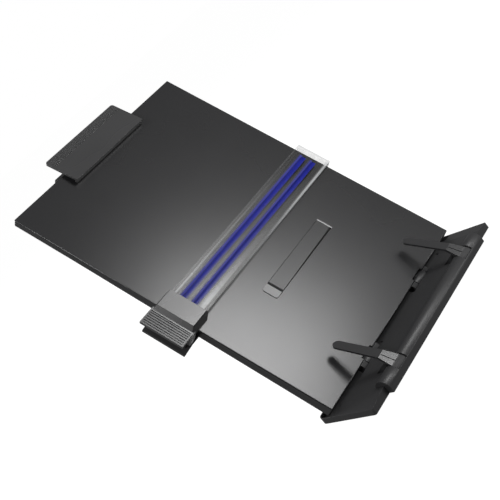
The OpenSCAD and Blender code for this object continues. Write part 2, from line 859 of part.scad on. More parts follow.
module leg_moulding() {
    plate_l = leg_l - foot_sleeve;
    difference() {
        linear_extrude(height = leg_t, center = true) leg_outline(0, plate_l);
        translate([0, 0, -leg_t / 2 - overcut]) linear_extrude(height = leg_t - leg_web + overcut)
            difference() {
                leg_outline(leg_flange, plate_l - leg_flange);
                translate([-leg_w / 2, -barrel_r - leg_flange / 2]) square([leg_w, 2 * barrel_r]);
                for (y = [leg_rib_pitch : leg_rib_pitch : plate_l - leg_flange])
                    translate([-leg_w / 2, -y - rib_t / 2]) square([leg_w, rib_t]);
            }
    }
    bar_x(barrel_r, leg_w);
    span([-leg_foot_w / 2 + leg_flange, -plate_l - tongue_l, -tongue_t / 2],
        [leg_foot_w / 2 - leg_flange, overcut - plate_l, tongue_t / 2]);
}

// Toe that meets the back of the face sheet and stops the open leg
module leg_heel() {
    top = leg_pivot_depth - board_skin - gap;
    along_x(leg_w - 2 * leg_flange) polygon([[0, -barrel_r / 2], [heel_l, top - heel_t], [heel_l, top], [0, top]]);
}

module easel_leg() {
    color(shell_grey) difference() {
        union() {
            translate([0, leg_axis_y, leg_axis_z]) rotate([leg_turn, 0, 0]) leg_moulding();
            at_board() translate([0, leg_pivot_s, -leg_pivot_depth]) leg_heel();
        }
        translate([0, leg_axis_y, leg_axis_z]) bar_x(pin_r + run_fit, leg_w + overcut);
    }
}

module leg_foot() {
    color(rubber) translate([0, leg_axis_y, leg_axis_z]) rotate([leg_turn, 0, 0]) difference() {
        union() {
            translate([0, -leg_l, 0]) bar_x(leg_foot_r, leg_foot_w);
            span([-leg_foot_w / 2, -leg_l, -leg_foot_r], [leg_foot_w / 2, foot_sleeve - leg_l, leg_foot_r]);
        }
        span([-leg_foot_w / 2 + leg_flange - run_fit, foot_sleeve - tongue_l - leg_l - run_fit,
            -tongue_t / 2 - run_fit],
            [leg_foot_w / 2 - leg_flange + run_fit, foot_sleeve - leg_l + overcut, tongue_t / 2 + run_fit]);
    }
}

// Torsion spring, one unbroken wire wound round z with a straight leg at each end
function spin(a) = [cos(a), sin(a), 0];
function tangent(a) = [-sin(a), cos(a), 0];
function wire_path(r, start, sweep, start_leg, end_leg) =
    let (count = ceil(sweep / 360 * rings_per_turn),
        height = coil_pitch * sweep / 360,
        helix = [for (i = [0 : count]) let (t = i / count, a = start + t * sweep)
            [r * spin(a) + [0, 0, (t - 1 / 2) * height], a]],
        first = helix[0],
        last = helix[count])
    concat([[first[0] - start_leg * tangent(first[1]), first[1]]], helix,
        [[last[0] + end_leg * tangent(last[1]), last[1]]]);

module wire(path) {
    n = wire_sides;
    rings = len(path);
    points = [for (p = path, k = [0 : n - 1]) let (b = 360 * k / n)
        p[0] + wire_r * (cos(b) * spin(p[1]) + sin(b) * [0, 0, 1])];
    sides = [for (i = [0 : rings - 2], k = [0 : n - 1]) let (m = (k + 1) % n)
        for (f = [[i * n + k, i * n + m, (i + 1) * n + m], [i * n + k, (i + 1) * n + m, (i + 1) * n + k]]) f];
    polyhedron(points, concat([[for (k = [n - 1 : -1 : 0]) k]], sides,
        [[for (k = [0 : n - 1]) (rings - 1) * n + k]]));
}

// Least gap between neighbouring turns, measured on the points of a path
function turn_gap(path) = min([for (i = [1 : len(path) - 2 - rings_per_turn])
    norm(path[i][0] - path[i + rings_per_turn][0]) - 2 * wire_r]);

// Guide clip
module cap_body() {
    half = cap_w / 2;
    half_top = cap_top_w / 2;
    intersection() {
        along_x(4 * cap_foot_in) polygon([[-half, cap_foot], [half, cap_foot], [half_top, cap_top],
            [-half_top, cap_top]]);
        along_y(cap_w) polygon([[cap_foot_in, cap_foot], [cap_in, cap_top], [-cap_out, cap_top],
            [-grip_root, grip_top], [-grip_root, cap_foot]]);
        linear_extrude(height = cap_top) polygon([[-grip_root, -half], [cap_foot_in - cap_chamfer.y, -half],
            [cap_foot_in, cap_chamfer.x - half], [cap_foot_in, half - cap_chamfer.x],
            [cap_foot_in - cap_chamfer.y, half], [-grip_root, half]]);
    }
}

module cap_hollow() {
    half = ruler_w / 2 + gap;
    span([-cap_wall_x, -half, -overcut], [cap_foot_in + overcut, half, ruler_top + gap]);
    span([-cap_wall_x, -half, -overcut], [cap_in - cap_skin, half, cap_top - cap_skin]);
}

module upper_ears() {
    for (side = [-1, 1]) translate([0, side * (cap_w / 2 - upper_ear_t / 2), 0]) {
        translate([-guide_axis_x, 0, -guide_axis_z]) bar_y(upper_ear_r, upper_ear_t);
        span([-guide_axis_x - upper_ear_r, -upper_ear_t / 2, -guide_axis_z],
            [upper_ear_r - guide_axis_x, upper_ear_t / 2, grip_top - grip_t + grip_relief]);
    }
}

module grip_pad() {
    under = grip_top - grip_t;
    face = grip_top - grip_relief;
    difference() {
        span([-grip_out, -grip_w / 2, under], [-grip_root, grip_w / 2, grip_top]);
        span([grip_rim - grip_out, grip_rim - grip_w / 2, face],
            [-grip_root - grip_rim, grip_w / 2 - grip_rim, grip_top + overcut]);
    }
    pitch = (grip_out - grip_root - 2 * grip_rim) / grip_ribs;
    for (i = [0 : grip_ribs - 1])
        translate([grip_rim - grip_out + (i + 1 / 2) * pitch, 0, 0])
            span([-pitch / 5, grip_rim - grip_w / 2, under], [pitch / 5, grip_w / 2 - grip_rim, grip_top - grip_relief / 5]);
}

module ruler_rivet_places() {
    for (side = [-1, 1]) translate([ruler_rivet_x, side * ruler_rivet_y, 0]) children();
}

module guide_upper_lever() {
    color(shell_grey) at_guide() difference() {
        union() {
            difference() {
                cap_body();
                cap_hollow();
            }
            upper_ears();
            grip_pad();
            ruler_rivet_places() translate([0, 0, ruler_top])
                cylinder(r = ruler_boss_r, h = cap_top - ruler_top - cap_skin / 2);
        }
        translate([-guide_axis_x, 0, -guide_axis_z]) bar_y(guide_pin_r + run_fit, cap_w + overcut);
        ruler_rivet_places() translate([0, 0, ruler_top - overcut])
            cylinder(r = ruler_rivet_r + seat_fit, h = overcut + cap_top - cap_skin - ruler_top);
    }
}

module guide_ruler() {
    color([0.8, 0.85, 0.9, 0.45]) at_guide() difference() {
        union() {
            span([ruler_start, -ruler_w / 2, ruler_low], [ruler_end, ruler_w / 2, ruler_top]);
            for (side = [0, 1]) mirror([0, side, 0])
                span([ruler_start, ruler_w / 2 - rim_w, ruler_low - rim_drop], [ruler_end, ruler_w / 2, ruler_top]);
            span([ruler_end - lip_t, -ruler_w / 2, ruler_top - lip_drop], [ruler_end, ruler_w / 2, ruler_top]);
        }
        ruler_rivet_places() cylinder(r = ruler_rivet_r + seat_fit, h = 2 * ruler_top);
    }
}

module guide_stripes() {
    color([0.13, 0.16, 0.62]) at_guide() for (side = [-1, 1])
        span([cap_in - cap_skin, side * stripe_y - stripe_w / 2, ruler_low - stripe_t],
            [stripe_end, side * stripe_y + stripe_w / 2, ruler_low]);
}

module guide_rivets() {
    color(steel) at_guide() ruler_rivet_places() {
        translate([0, 0, ruler_low - rivet_head_t]) cylinder(r = rivet_head_r, h = rivet_head_t);
        translate([0, 0, ruler_low]) cylinder(r = ruler_rivet_r, h = cap_top - cap_skin - ruler_low - gap);
    }
}

module guide_upper_pad() {
    color(rubber) at_guide() span([ruler_rivet_x + rivet_head_r + gap, -guide_pad_w / 2, paper_gap],
        [cap_in - cap_skin - gap, guide_pad_w / 2, ruler_low]);
}

module lower_lever_section() {
    polygon([[cap_in, -jaw_top], [cap_in, -jaw_top - jaw_t], [-lower_grip_root, -jaw_top - jaw_t],
        [-lower_grip_out, -jaw_top - jaw_t - lower_grip_drop], [-lower_grip_out, -jaw_top - lower_grip_drop],
        [-lower_grip_root, -jaw_top]]);
}

module guide_lower_lever() {
    ear_y = cap_w / 2 - upper_ear_t - gap - lower_ear_t / 2;
    color(cover_grey) at_guide() difference() {
        union() {
            along_y(cap_w) lower_lever_section();
            for (side = [-1, 1]) translate([-guide_axis_x, side * ear_y, 0]) {
                translate([0, 0, -guide_axis_z]) bar_y(lower_ear_r, lower_ear_t);
                span([-lower_ear_r, -lower_ear_t / 2, -jaw_top - jaw_t],
                    [lower_ear_r, lower_ear_t / 2, -guide_axis_z]);
            }
        }
        translate([-guide_axis_x, 0, -guide_axis_z]) bar_y(guide_pin_r + seat_fit, cap_w);
    }
}

module guide_pin() {
    color(steel) at_guide() translate([-guide_axis_x, 0, -guide_axis_z]) bar_y(guide_pin_r, cap_w + 2 * gap);
}

module guide_lower_pad() {
    color(rubber) at_guide()
        span([gap, -cap_w / 2 + cap_skin, -jaw_top], [cap_in - cap_skin, cap_w / 2 - cap_skin, -jaw_top + pad_t]);
}

// The legs of the guide spring end just under the grip and just over the lower grip
guide_slope = lower_grip_drop / (lower_grip_out - lower_grip_root);
guide_upper_leg = (grip_top - grip_t + guide_axis_z - wire_r - gap - guide_coil_r * sin(guide_upper_phase))
    / cos(guide_upper_phase);
guide_lower_leg = (jaw_top - guide_axis_z - wire_r - gap
    + guide_slope * (guide_axis_x - lower_grip_root - guide_coil_r * cos(guide_lower_phase))
    - guide_coil_r * sin(guide_lower_phase)) / (cos(guide_lower_phase) - guide_slope * sin(guide_lower_phase));
guide_sweep = 360 * (coil_turns - 1) + guide_upper_phase + guide_lower_phase;
guide_wire = wire_path(guide_coil_r, -guide_lower_phase, guide_sweep, guide_lower_leg, guide_upper_leg);

module guide_spring() {
    color(steel) at_guide() translate([-guide_axis_x, 0, -guide_axis_z]) rotate([90, 0, 0]) wire(guide_wire);
}

// Top clip
module clip_outline() {
    polygon([[-clip_in, clip_front_z], [clip_out, clip_rear_z], [clip_out, clip_rear_z - clip_t],
        [clip_lip_t - clip_in, clip_front_z - clip_t - clip_slope * clip_lip_t],
        [clip_lip_t - clip_in, paper_gap + clip_pad_t], [-clip_in, paper_gap + clip_pad_t]]);
}

module clip_plan() {
    mid = (clip_out - clip_in) / 2;
    translate([0, mid]) round_plan(clip_w, clip_in + clip_out, clip_corner_r);
    translate([-clip_w / 2, -clip_in]) square([clip_w, clip_in]);
}

module clip_grip_ribs() {
    translate([0, clip_out, clip_rear_z]) rotate([-atan(clip_slope), 0, 0]) for (i = [0 : clip_ribs - 1])
        translate([0, -clip_rib_inset - i * clip_rib_pitch, 0])
            span([clip_corner_r - clip_w / 2, -clip_rib_w / 2, -clip_t / 2],
                [clip_w / 2 - clip_corner_r, clip_rib_w / 2, clip_rib_h]);
}

module clip_upper_lever() {
    color(shell_grey) at_clip() difference() {
        union() {
            intersection() {
                along_x(clip_w) clip_outline();
                translate([0, 0, -clip_front_z]) linear_extrude(height = 3 * clip_front_z) clip_plan();
            }
            clip_grip_ribs();
            for (side = [-1, 1]) translate([side * clip_ear_x, clip_axis_y, 0]) {
                translate([0, 0, -clip_axis_z]) bar_x(clip_ear_r, clip_ear_t);
                span([-clip_ear_t / 2, -clip_ear_r, -clip_axis_z], [clip_ear_t / 2, clip_ear_r, clip_under_z]);
            }
        }
        translate([0, clip_axis_y, -clip_axis_z]) bar_x(clip_pin_r + run_fit, clip_w);
    }
}

module clip_jaw_pad() {
    color(rubber) at_clip() span([clip_t - clip_w / 2, -clip_in, paper_gap],
        [clip_w / 2 - clip_t, clip_lip_t - clip_in, paper_gap + clip_pad_t]);
}

module clip_rivet_places() {
    for (side = [-1, 1]) translate([side * clip_rivet_x, -clip_rivet_y, -board_top_t]) children();
}

// Web of an ear, cut to the slope of the jaw that carries it
module clip_lower_ear() {
    start = clip_axis_y - clip_lower_ear_r;
    translate([0, -clip_axis_y, 0]) along_x(clip_ear_t) polygon([[start, -clip_axis_z],
        [start, -board_top_t - clip_lower_slope * (start - clip_jaw_root) - clip_jaw_t / 2],
        [clip_jaw_out, -board_top_t - clip_jaw_drop - clip_jaw_t / 2], [clip_jaw_out, -board_top_t - clip_jaw_drop],
        [clip_axis_y + clip_lower_ear_r, -clip_axis_z]]);
}

module clip_lower_jaw() {
    ear_x = clip_ear_x - clip_ear_t - gap;
    color(cover_grey) at_clip() difference() {
        union() {
            along_x(clip_w) polygon([[-clip_jaw_in, -board_top_t], [clip_jaw_root, -board_top_t],
                [clip_jaw_out, -board_top_t - clip_jaw_drop],
                [clip_jaw_out, -board_top_t - clip_jaw_drop - clip_jaw_lip],
                [clip_jaw_out - clip_jaw_t, -board_top_t - clip_jaw_drop - clip_jaw_lip],
                [clip_jaw_root, -board_top_t - clip_jaw_t], [-clip_jaw_in, -board_top_t - clip_jaw_t]]);
            for (side = [-1, 1]) translate([side * ear_x, clip_axis_y, 0]) {
                translate([0, 0, -clip_axis_z]) bar_x(clip_lower_ear_r, clip_ear_t);
                clip_lower_ear();
            }
        }
        translate([0, clip_axis_y, -clip_axis_z]) bar_x(clip_pin_r + seat_fit, clip_w);
        clip_rivet_places() translate([0, 0, -clip_jaw_t - overcut])
            cylinder(r = clip_rivet_r + seat_fit, h = clip_jaw_t + 2 * overcut);
    }
}

module clip_rivets() {
    color(steel) at_clip() clip_rivet_places() {
        translate([0, 0, -clip_jaw_t - rivet_head_t]) cylinder(r = clip_rivet_boss_r - gap, h = rivet_head_t);
        translate([0, 0, -clip_jaw_t]) cylinder(r = clip_rivet_r, h = clip_jaw_t + clip_rivet_l - gap);
    }
}

module clip_pin() {
    color(steel) at_clip() translate([0, clip_axis_y, -clip_axis_z]) bar_x(clip_pin_r, 2 * clip_ear_x + clip_ear_t + gap);
}

clip_upper_leg = (clip_rear_z - clip_t + clip_slope * (clip_out - clip_axis_y - clip_coil_r * cos(clip_upper_phase))
    + clip_axis_z - wire_r - gap - clip_coil_r * sin(clip_upper_phase))
    / (cos(clip_upper_phase) - clip_slope * sin(clip_upper_phase));
clip_lower_leg = (board_top_t - clip_axis_z + clip_lower_slope * (clip_axis_y + clip_coil_r * cos(clip_lower_phase)
    - clip_jaw_root) + clip_coil_r * sin(clip_lower_phase) - (wire_r + gap) * sqrt(1 + pow(clip_lower_slope, 2)))
    / (cos(clip_lower_phase) - clip_lower_slope * sin(clip_lower_phase));
clip_sweep = 360 * coil_turns + clip_upper_phase - clip_lower_phase;
clip_wire = wire_path(clip_coil_r, clip_lower_phase, clip_sweep, clip_lower_leg, clip_upper_leg);

module clip_spring() {
    color(steel) at_clip() translate([0, clip_axis_y, -clip_axis_z]) rotate([90, 0, 90]) wire(clip_wire);
}

echo(least_turn_gap_mm = min(turn_gap(guide_wire), turn_gap(clip_wire)));

on_table() base_tray();
on_table() base_plate();
on_table() ballast_bar();
on_table() base_screws();
on_table() rubber_feet();
on_table() ledge_cover();
on_table() finger_pins();
on_table() finger_washers();
on_table() hinge_pins();
on_table() board_panel();
on_table() leg_pin();
on_table() release_latch();
on_table() clip_lower_jaw();
on_table() clip_rivets();
on_table() clip_pin();
on_table() clip_spring();
on_table() clip_upper_lever();
on_table() clip_jaw_pad();
on_table() easel_leg();
on_table() leg_foot();
on_table() finger_left();
on_table() finger_right();
on_table() guide_lower_lever();
on_table() guide_pin();
on_table() guide_spring();
on_table() guide_lower_pad();
on_table() guide_upper_lever();
on_table() guide_upper_pad();
on_table() guide_ruler();
on_table() guide_stripes();
on_table() guide_rivets();
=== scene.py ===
"""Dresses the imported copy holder: softened edges, moulded plastics, clear acrylic, wound springs, studio and camera."""

import math

import bmesh
import bpy
from mathutils import Matrix, Vector


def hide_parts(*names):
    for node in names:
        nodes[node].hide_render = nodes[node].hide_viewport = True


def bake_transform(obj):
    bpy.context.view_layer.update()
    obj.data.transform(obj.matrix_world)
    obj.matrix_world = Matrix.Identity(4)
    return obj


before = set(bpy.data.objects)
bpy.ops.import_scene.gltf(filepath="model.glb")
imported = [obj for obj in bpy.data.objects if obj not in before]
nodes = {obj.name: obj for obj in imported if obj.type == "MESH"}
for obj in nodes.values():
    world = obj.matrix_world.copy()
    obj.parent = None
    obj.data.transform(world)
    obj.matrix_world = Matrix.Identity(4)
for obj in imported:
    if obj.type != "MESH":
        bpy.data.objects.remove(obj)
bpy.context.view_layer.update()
MM = 0.001

# Sizes of the part, in millimetres as in its source
PANEL_W, PANEL_H = 228.6, 304.8
GUIDE_HEIGHT = 141.8
RULER_W, RULER_PAST_PANEL = 33.5, 3
STRIPE_END = PANEL_W - 7
FINGER_AXIS_Y, FINGER_AXIS_Z = -11.0, 5.2
LEAN = math.radians(56)
FACE_UP = Vector((0, math.cos(LEAN), math.sin(LEAN)))
# Lower edge of the panel's face
BOARD_ORIGIN = Vector((0, 26.485, 11.720))
AT_BOARD = Matrix.Translation(BOARD_ORIGIN) @ Matrix.Rotation(LEAN, 4, "X")
# Left edge of the panel's face, at the middle of the line guide
GUIDE_PLACE = AT_BOARD @ Matrix.Translation((-PANEL_W / 2, GUIDE_HEIGHT, 0))

# ---------------------------------------------------------------- node helpers


class Shader:
    """A material's node tree with a few short calls for building it."""

    def __init__(self, name):
        self.material = bpy.data.materials.new(name)
        self.material.use_nodes = True
        self.tree = self.material.node_tree
        self.tree.nodes.clear()
        out = self.add("ShaderNodeOutputMaterial")
        self.bsdf = self.add("ShaderNodeBsdfPrincipled")
        self.link(self.bsdf.outputs[0], out.inputs["Surface"])
        self.place = self.add("ShaderNodeTexCoord").outputs["Object"]

    def add(self, kind, **values):
        node = self.tree.nodes.new(kind)
        for key, value in values.items():
            setattr(node, key, value)
        return node

    def link(self, source, target):
        self.tree.links.new(source, target)

    def set(self, **values):
        for key, value in values.items():
            self.bsdf.inputs[key.replace("_", " ")].default_value = value

    def axes(self, source=None):
        """The X, Y and Z of a place, by default of the object's own."""
        split = self.add("ShaderNodeSeparateXYZ")
        self.link(source or self.place, split.inputs[0])
        return split.outputs

    def stretched(self, scale):
        mapping = self.add("ShaderNodeMapping")
        mapping.inputs["Scale"].default_value = scale
        self.link(self.place, mapping.inputs["Vector"])
        return mapping.outputs[0]

    def noise(self, scale, detail=3.0, rough=0.5, where=None):
        node = self.add("ShaderNodeTexNoise")
        node.inputs["Scale"].default_value = scale
        node.inputs["Detail"].default_value = detail
        node.inputs["Roughness"].default_value = rough
        self.link(where or self.place, node.inputs["Vector"])
        return node.outputs["Fac"]

    def ranged(self, source, low, high, start=0.3, end=0.7, kind="LINEAR"):
        node = self.add("ShaderNodeMapRange", interpolation_type=kind)
        node.inputs["From Min"].default_value = start
        node.inputs["From Max"].default_value = end
        node.inputs["To Min"].default_value = low
        node.inputs["To Max"].default_value = high
        self.link(source, node.inputs["Value"])
        return node.outputs["Result"]

    def ramp(self, source, *stops):
        node = self.add("ShaderNodeValToRGB")
        node.color_ramp.interpolation = "EASE"
        elements = node.color_ramp.elements
        while len(elements) < len(stops):
            elements.new(0.5)
        for element, (position, colour) in zip(elements, stops):
            element.position = position
            element.color = (*colour, 1)
        self.link(source, node.inputs["Fac"])
        return node.outputs["Color"]

    def math(self, operation, a, b):
        node = self.add("ShaderNodeMath", operation=operation)
        for socket, value in zip(node.inputs, (a, b)):
            if isinstance(value, (int, float)):
                socket.default_value = value
            else:
                self.link(value, socket)
        return node.outputs[0]

    def bump(self, height, strength, distance):
        node = self.add("ShaderNodeBump")
        node.inputs["Strength"].default_value = strength
        node.inputs["Distance"].default_value = distance
        self.link(height, node.inputs["Height"])
        return node.outputs["Normal"]


def shade(colour, factor):
    return tuple(min(1.0, c * factor) for c in colour)


# Masks of the surfaces that are less polished than the rest of their moulding. Each returns a value of 0 to 1.


def finger_hub(s):
    """1 on the round hub of a page finger, within 6.2 mm of its axis, and 0 past 6.7 mm."""
    at = s.axes()
    back = s.math("SUBTRACT", at["Y"], FINGER_AXIS_Y * MM)
    up = s.math("SUBTRACT", at["Z"], FINGER_AXIS_Z * MM)
    far = s.math("SQRT", s.math("ADD", s.math("MULTIPLY", back, back), s.math("MULTIPLY", up, up)), 0.0)
    return s.ranged(far, 1.0, 0.0, 6.2 * MM, 6.7 * MM)


def guide_grip(s):
    """Rises to 0.18 over the ribbed grip of the line guide, which stands out past the panel's left edge."""
    return s.ranged(s.axes()["X"], 0.18, 0.0, (-PANEL_W / 2 - 11) * MM, (-PANEL_W / 2 - 9) * MM)


def height_up_face(s):
    """Distance up the panel's face from its lower edge, in metres."""
    along = s.add("ShaderNodeVectorMath", operation="DOT_PRODUCT")
    along.inputs[1].default_value = FACE_UP
    s.link(s.place, along.inputs[0])
    return s.math("SUBTRACT", along.outputs["Value"], BOARD_ORIGIN.dot(FACE_UP) * MM)


def clip_grip(s):
    """Rises to 0.3 over the ribbed grip of the page clip, above the panel's top edge."""
    return s.ranged(height_up_face(s), 0.0, 0.3, (PANEL_H + 10.5) * MM, (PANEL_H + 11.5) * MM)


def board_knuckles(s):
    """1 on the hinge knuckles, below the lower edge of the panel's face, and 0 on the panel."""
    return s.ranged(height_up_face(s), 1.0, 0.0, -0.4 * MM, -0.1 * MM)


CLOUDINESS = 0.10  # how far the colour of the plastics drifts to each side
UNPOLISHED = 0.45  # roughness that a mask of 1 adds


def plastic(name, colour, rough, rough_spread=0.02, level=0.5, dull=None):
    """Moulded plastic: cloudy colour, uneven polish and less polish where the mask called dull rises."""
    s = Shader(name)
    cloud = s.noise(14.0, 3.0, 0.5)
    darker, paler = shade(colour, 1 - CLOUDINESS), shade(colour, 1 + CLOUDINESS)
    s.link(s.ramp(cloud, (0.2, darker), (0.5, colour), (0.8, paler)), s.bsdf.inputs["Base Color"])
    smear = s.noise(4.0, 2.0, 0.5, s.stretched((3.0, 9.0, 4.0)))
    polish = s.ranged(smear, rough - rough_spread, rough + rough_spread, 0.1, 0.9, "SMOOTHERSTEP")
    if dull:
        polish = s.math("ADD", polish, s.math("MULTIPLY", dull(s), UNPOLISHED))
    s.link(polish, s.bsdf.inputs["Roughness"])
    s.set(IOR=1.5, Specular_IOR_Level=level)
    return s.material


def rubber_material(name, colour):
    """Matt rubber with a fine grain."""
    s = Shader(name)
    grain = s.noise(2200.0, 3.0, 0.7)
    cloud = s.noise(60.0, 4.0, 0.6)
    s.link(s.ramp(cloud, (0.3, shade(colour, 0.8)), (0.7, shade(colour, 1.3))), s.bsdf.inputs["Base Color"])
    s.link(s.ranged(grain, 0.72, 0.9), s.bsdf.inputs["Roughness"])
    s.link(s.bump(grain, 0.7, 0.02 * MM), s.bsdf.inputs["Normal"])
    s.set(IOR=1.52)
    return s.material


def steel_material(name, colour, rough, stretch=(1.0, 1.0, 1.0)):
    """Metal with fine marks, closer together along the axes that stretch scales up."""
    s = Shader(name)
    lines = s.noise(40.0, 5.0, 0.65, s.stretched(stretch))
    cloud = s.noise(90.0, 3.0)
    s.link(s.ramp(cloud, (0.3, shade(colour, 0.86)), (0.7, shade(colour, 1.06))), s.bsdf.inputs["Base Color"])
    s.link(s.ranged(lines, rough - 0.06, rough + 0.1), s.bsdf.inputs["Roughness"])
    s.link(s.bump(lines, 0.25, 0.01 * MM), s.bsdf.inputs["Normal"])
    s.set(Metallic=1.0)
    return s.material


def acrylic_material(name):
    """Clear acrylic bar with painted light: a milky haze thickened by painted sheen towards the clip and on the lower
    side, clear towards its far end, with painted highlights along its edges and a painted blur beside each film.
    """
    s = Shader(name)
    mapping = s.add("ShaderNodeMapping", vector_type="TEXTURE")
    mapping.inputs["Location"].default_value = tuple(GUIDE_PLACE.to_translation() * MM)
    mapping.inputs["Rotation"].default_value = tuple(GUIDE_PLACE.to_euler())
    s.link(s.place, mapping.inputs["Vector"])
    # Along the bar from the panel's left edge, and across it from its middle
    at = s.axes(mapping.outputs[0])
    x, y = at["X"], at["Y"]
    edge = RULER_W / 2
    far_end = PANEL_W + RULER_PAST_PANEL

    def over(source, low, high, start, end):
        """From low to high between two places in millimetres, level outside them."""
        return s.ranged(source, low, high, start * MM, end * MM)

    def times(a, b):
        return s.math("MULTIPLY", a, b)

    def strongest(first, *others):
        for other in others:
            first = s.math("MAXIMUM", first, other)
        return first

    # Painted highlights: pale lines along the bar's edges
    upper_highlight_line = times(times(over(y, 0, 1, 12.5, 13.1), over(y, 1, 0, 14.1, 14.7)), over(x, 0.42, 0.05, 25, 215))
    upper_edge_highlight = over(y, 0, 0.25, edge - 0.45, edge - 0.2)
    lower_edge_highlight = times(over(y, 1, 0, -15.6, -13.4), over(x, 0, 0.48, 40, 190))
    end_edge_highlight = over(x, 0, 0.25, far_end - 1.9, far_end - 1.7)
    lines = strongest(upper_highlight_line, upper_edge_highlight, lower_edge_highlight, end_edge_highlight)
    # The films, left clear over their middles, and a painted blur on one side of each that stands for the films' image
    # refracted through the bar
    film = strongest(times(over(y, 0, 1, -7.8, -5.0), over(y, 1, 0, -3.2, -2.6)),
                     times(over(y, 0, 1, 2.6, 5.0), over(y, 1, 0, 7.2, 7.8)))
    painted_film_blur = strongest(times(over(y, 0, 0.96, -3.6, -3.1), over(y, 1, 0, -2.6, -0.3)),
                     times(over(y, 0, 0.96, 6.9, 7.4), over(y, 1, 0, 8.2, 10.4)))
    painted_film_blur = times(painted_film_blur, over(x, 1, 0, STRIPE_END - 1, STRIPE_END))
    # Milky haze with painted sheen, which makes it denser towards the clip and on the lower side
    haze = s.noise(22.0, 5.0, 0.65)
    sheen_towards_clip = over(x, 1.45, 0.12, 25, 200)
    lower_side_sheen = times(over(y, 0.27, 0.0, -11, -7), over(y, 0.2, 1.0, -14.4, -13.2))
    lower_side_sheen = times(lower_side_sheen, over(x, 1.4, 0.1, 25, 150))
    body = times(s.math("ADD", s.ranged(haze, 0.24, 0.32, 0.2, 0.8), lower_side_sheen), sheen_towards_clip)
    body = times(body, s.math("SUBTRACT", 1.0, times(film, 0.96)))
    # Painted highlight: a more opaque band along both long edges, denser towards the clip
    rim_highlight = times(over(s.math("ABSOLUTE", y, 0.0), 0, 0.30, edge - 1.55, edge - 1.35), sheen_towards_clip)
    s.link(strongest(body, rim_highlight, lines, painted_film_blur), s.bsdf.inputs["Alpha"])
    # Colour paler where the painted highlights and the painted sheen of the lower side lie, and blue in the painted
    # blur of the films
    highlight_grey = s.ramp(strongest(times(lines, 2.0), lower_side_sheen), (0.0, (0.17, 0.17, 0.17)), (1.0, (0.62, 0.63, 0.64)))
    film_blur_tint = s.add("ShaderNodeMix", data_type="RGBA")
    amount, first, second = (film_blur_tint.inputs[i] for i in (0, 6, 7))
    s.link(s.math("MINIMUM", times(painted_film_blur, 3.0), 1.0), amount)
    s.link(highlight_grey, first)
    second.default_value = (0.010, 0.014, 0.24, 1)
    s.link(film_blur_tint.outputs[2], s.bsdf.inputs["Base Color"])
    s.link(s.math("ADD", s.ranged(haze, 0.24, 0.30), times(painted_film_blur, 0.4)), s.bsdf.inputs["Roughness"])
    s.set(IOR=1.49)
    return s.material


def film_material(name, colour):
    """Printed film with a faintly uneven colour."""
    s = Shader(name)
    cloud = s.noise(120.0, 4.0, 0.6)
    s.link(s.ramp(cloud, (0.3, shade(colour, 0.88)), (0.7, shade(colour, 1.12))), s.bsdf.inputs["Base Color"])
    s.link(s.ranged(cloud, 0.40, 0.52), s.bsdf.inputs["Roughness"])
    s.set(IOR=1.45, Specular_IOR_Level=0.12)
    return s.material


MARKS_ACROSS_X = (31.0, 1.0, 1.0)

BOARD = plastic("board_semi_gloss", (0.018, 0.018, 0.019), 0.266, rough_spread=0.006, dull=board_knuckles)
BASE = plastic("base_satin", (0.026, 0.026, 0.027), 0.46)
LATCH = plastic("latch_semi_gloss", (0.018, 0.018, 0.019), 0.30, rough_spread=0.006, level=0.45)
FINGER = plastic("finger_polish", (0.026, 0.026, 0.027), 0.30, level=0.7, dull=finger_hub)
CLIP = plastic("clip_satin", (0.048, 0.048, 0.049), 0.27, dull=clip_grip)
GUIDE = plastic("guide_satin", (0.048, 0.048, 0.049), 0.27, dull=guide_grip)
LEG = plastic("leg_satin", (0.022, 0.022, 0.023), 0.42)
STEEL = steel_material("plated_steel", (0.62, 0.62, 0.63), 0.28, MARKS_ACROSS_X)
BLACKED = steel_material("blackened_steel", (0.07, 0.07, 0.072), 0.46)
WIRE = steel_material("spring_wire", (0.55, 0.55, 0.56), 0.24)
CAST = steel_material("raw_bar", (0.34, 0.33, 0.32), 0.5, MARKS_ACROSS_X)
RUBBER = rubber_material("black_rubber", (0.018, 0.018, 0.018))
CLEAR = acrylic_material("clear_acrylic")
FILM = film_material("blue_film", (0.005, 0.010, 0.26))

LOOKS = {
    "base_tray": BASE, "base_plate": LEG, "ballast_bar": CAST, "base_screws": STEEL, "rubber_feet": RUBBER,
    "ledge_cover": BASE, "finger_pins": BLACKED, "finger_washers": BLACKED, "hinge_pins": BLACKED, "board_panel": BOARD,
    "leg_pin": STEEL, "release_latch": LATCH, "clip_lower_jaw": LEG, "clip_rivets": STEEL, "clip_pin": STEEL,
    "clip_upper_lever": CLIP, "clip_jaw_pad": RUBBER, "easel_leg": LEG, "leg_foot": RUBBER,
    "finger_left": FINGER, "finger_right": FINGER, "guide_lower_lever": LEG, "guide_pin": STEEL,
    "guide_lower_pad": RUBBER, "guide_upper_lever": GUIDE, "guide_upper_pad": RUBBER, "guide_ruler": CLEAR,
    "guide_stripes": FILM, "guide_rivets": STEEL,
}
# Width of the softened edges of each moulding, in millimetres
EDGES = {
    "base_tray": 0.4, "ledge_cover": 0.15, "release_latch": 0.12, "clip_upper_lever": 0.1, "clip_lower_jaw": 0.2,
    "easel_leg": 0.25, "finger_left": 0.4, "finger_right": 0.4, "guide_lower_lever": 0.25,
    "guide_upper_lever": 0.2, "guide_ruler": 0.15, "base_plate": 0.1, "leg_foot": 0.3, "rubber_feet": 0.15,
    "board_panel": 0.3,
}

